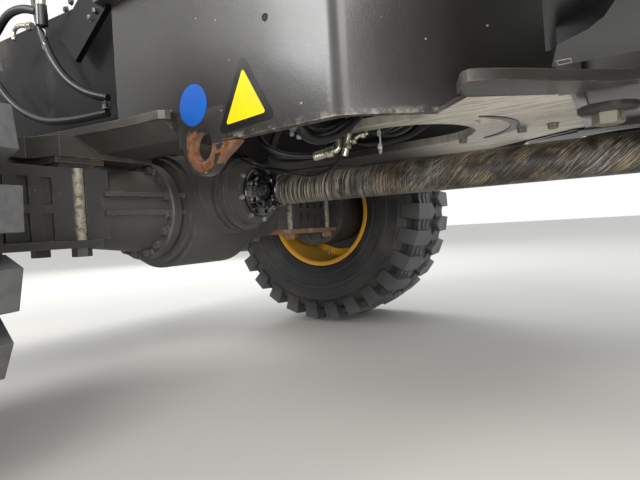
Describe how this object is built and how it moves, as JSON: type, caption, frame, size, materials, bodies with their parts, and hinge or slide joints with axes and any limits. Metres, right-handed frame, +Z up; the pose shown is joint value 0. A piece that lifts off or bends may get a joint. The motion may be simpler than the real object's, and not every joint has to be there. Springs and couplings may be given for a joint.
{
  "type": "wheeled excavator undercarriage",
  "caption": "Wheeled excavator undercarriage: welded frame, slew ring, rigid rear and oscillating steered front axle, driven wheels, propeller shaft and lifting rear blade.",
  "frame": {"origin": "on the ground, below the middle of the whole length and width with the blade raised as parked", "axes": "+X forwards to the steered axle, +Y to the machine's left, +Z up"},
  "size_m": [4.3074, 2.53, 1.192],
  "materials": {
    "frame_paint": "satin dark grey paint",
    "axle_paint": "satin dark grey paint over casting",
    "rusty_eye": "worn paint and rust",
    "ring_steel": "machined steel",
    "bare_steel": "plated, dull",
    "rod_chrome": "polished",
    "black_paint": "gloss black paint",
    "hose_rubber": "matt black",
    "box_plastic": "gloss black",
    "shaft_paint": "black, scratched and dusty",
    "tyre": "dusty black rubber",
    "rim_paint": "golden yellow paint",
    "hub_paint": "dark grey paint"
  },
  "bodies": {
    "chassis": {"centre_box": "frame_paint", "belly_plate": "frame_paint", "top_plate": "frame_paint", "rear_arms": "frame_paint", "front_arm": "frame_paint", "lashing_eyes": "rusty_eye", "slew_ring_inner": "ring_steel", "centre_swivel": "black_paint", "swivel_hoses": "hose_rubber", "rear_axle_housing": "axle_paint", "rear_axle_clamps": "bare_steel", "transfer_gearbox": "axle_paint", "travel_motor": "black_paint", "toolbox_right": "box_plastic", "toolbox_left": "box_plastic", "toolbox_brackets": "frame_paint", "lock_cylinders": "black_paint", "blade_brackets": "frame_paint"},
    "slew_race": {"slew_ring_outer": "ring_steel"},
    "front_axle": {"front_axle_housing": "axle_paint", "steering_cylinder": "black_paint"},
    "steering_rod": {"steering_rod": "rod_chrome"},
    "knuckle_left": {"knuckle_left": "axle_paint"},
    "knuckle_right": {"knuckle_right": "axle_paint"},
    "lock_plunger_left": {"lock_plunger_left": "rod_chrome"},
    "lock_plunger_right": {"lock_plunger_right": "rod_chrome"},
    "propshaft": {"propshaft_tube": "shaft_paint", "propshaft_joints": "black_paint"},
    "blade_lower_arms": {"blade_lower_arms": "frame_paint"},
    "blade": {"blade": "frame_paint"},
    "blade_upper_links": {"blade_upper_links": "frame_paint"},
    "blade_barrels": {"blade_cylinder_barrels": "black_paint"},
    "blade_rods": {"blade_cylinder_rods": "rod_chrome"},
    "wheel_rear_left": {"tyre_rear_left": "tyre", "rim_rear_left": "rim_paint", "hub_rear_left": "hub_paint"},
    "wheel_rear_right": {"tyre_rear_right": "tyre", "rim_rear_right": "rim_paint", "hub_rear_right": "hub_paint"},
    "wheel_front_left": {"tyre_front_left": "tyre", "rim_front_left": "rim_paint", "hub_front_left": "hub_paint"},
    "wheel_front_right": {"tyre_front_right": "tyre", "rim_front_right": "rim_paint", "hub_front_right": "hub_paint"}
  },
  "joints": [
    {"name": "slew", "type": "hinge", "parent": "chassis", "child": "slew_race", "pos_m": [-0.11633, 0, 1.11], "axis": [0, 0, 1], "continuous": true},
    {"name": "axle_oscillation", "type": "hinge", "parent": "chassis", "child": "front_axle", "pos_m": [1.62367, 0, 0.57], "axis": [1, 0, 0], "range_deg": [-8, 8]},
    {"name": "lock_left", "type": "slide", "parent": "chassis", "child": "lock_plunger_left", "axis": [0, 0, 1], "range_m": [-0.05, 0.05]},
    {"name": "lock_right", "type": "slide", "parent": "chassis", "child": "lock_plunger_right", "axis": [0, 0, 1], "range_m": [-0.05, 0.05]},
    {"name": "steer_left", "type": "hinge", "parent": "front_axle", "child": "knuckle_left", "pos_m": [1.62367, 0.77, 0.53], "axis": [0, 0, 1], "range_deg": [-32, 32]},
    {"name": "steer_right", "type": "hinge", "parent": "front_axle", "child": "knuckle_right", "pos_m": [1.62367, -0.77, 0.53], "axis": [0, 0, 1], "range_deg": [-32, 32]},
    {"name": "steer_slide", "type": "slide", "parent": "front_axle", "child": "steering_rod", "axis": [0, 1, 0], "range_m": [-0.12, 0.12]},
    {"name": "propshaft_turn", "type": "hinge", "parent": "chassis", "child": "propshaft", "pos_m": [-0.97633, 0, 0.57], "axis": [1, 0, 0], "continuous": true},
    {"name": "blade_lift", "type": "hinge", "parent": "chassis", "child": "blade_lower_arms", "pos_m": [-1.61633, 0, 0.5], "axis": [0, 1, 0], "range_deg": [-58, 0]},
    {"name": "blade_level", "type": "hinge", "parent": "blade_lower_arms", "child": "blade", "pos_m": [-1.98367, 0, 0.70362], "axis": [0, 1, 0], "range_deg": [0, 58]},
    {"name": "blade_guide", "type": "hinge", "parent": "chassis", "child": "blade_upper_links", "pos_m": [-1.61633, 0, 0.66], "axis": [0, 1, 0], "range_deg": [-58, 0]},
    {"name": "blade_ram_tilt", "type": "hinge", "parent": "chassis", "child": "blade_barrels", "pos_m": [-1.67633, 0, 0.94], "axis": [0, 1, 0], "range_deg": [-16.4, 0.5]},
    {"name": "blade_ram_slide", "type": "slide", "parent": "blade_barrels", "child": "blade_rods", "axis": [-0.5924, 0, -0.8057], "range_m": [-0.005, 0.3668]},
    {"name": "wheel_rear_left_turn", "type": "hinge", "parent": "chassis", "child": "wheel_rear_left", "pos_m": [-0.97633, 1.04, 0.53], "axis": [0, 1, 0], "continuous": true},
    {"name": "wheel_rear_right_turn", "type": "hinge", "parent": "chassis", "child": "wheel_rear_right", "pos_m": [-0.97633, -1.04, 0.53], "axis": [0, 1, 0], "continuous": true},
    {"name": "wheel_front_left_turn", "type": "hinge", "parent": "knuckle_left", "child": "wheel_front_left", "pos_m": [1.62367, 1.04, 0.53], "axis": [0, 1, 0], "continuous": true},
    {"name": "wheel_front_right_turn", "type": "hinge", "parent": "knuckle_right", "child": "wheel_front_right", "pos_m": [1.62367, -1.04, 0.53], "axis": [0, 1, 0], "continuous": true}
  ],
  "couplings": [
    {"joint": "lock_left", "follows": "axle_oscillation", "m_per_rad": 0.33},
    {"joint": "lock_right", "follows": "axle_oscillation", "m_per_rad": -0.33},
    {"joint": "steer_right", "follows": "steer_left", "ratio": 1},
    {"joint": "steer_slide", "follows": "steer_left", "m_per_rad": 0.204},
    {"joint": "blade_level", "follows": "blade_lift", "ratio": -1},
    {"joint": "blade_guide", "follows": "blade_lift", "ratio": 1},
    {"joint": "blade_ram_tilt", "follows": "blade_lift", "ratio": 0.27412},
    {"joint": "blade_ram_slide", "follows": "blade_lift", "m_per_rad": -0.35739}
  ]
}
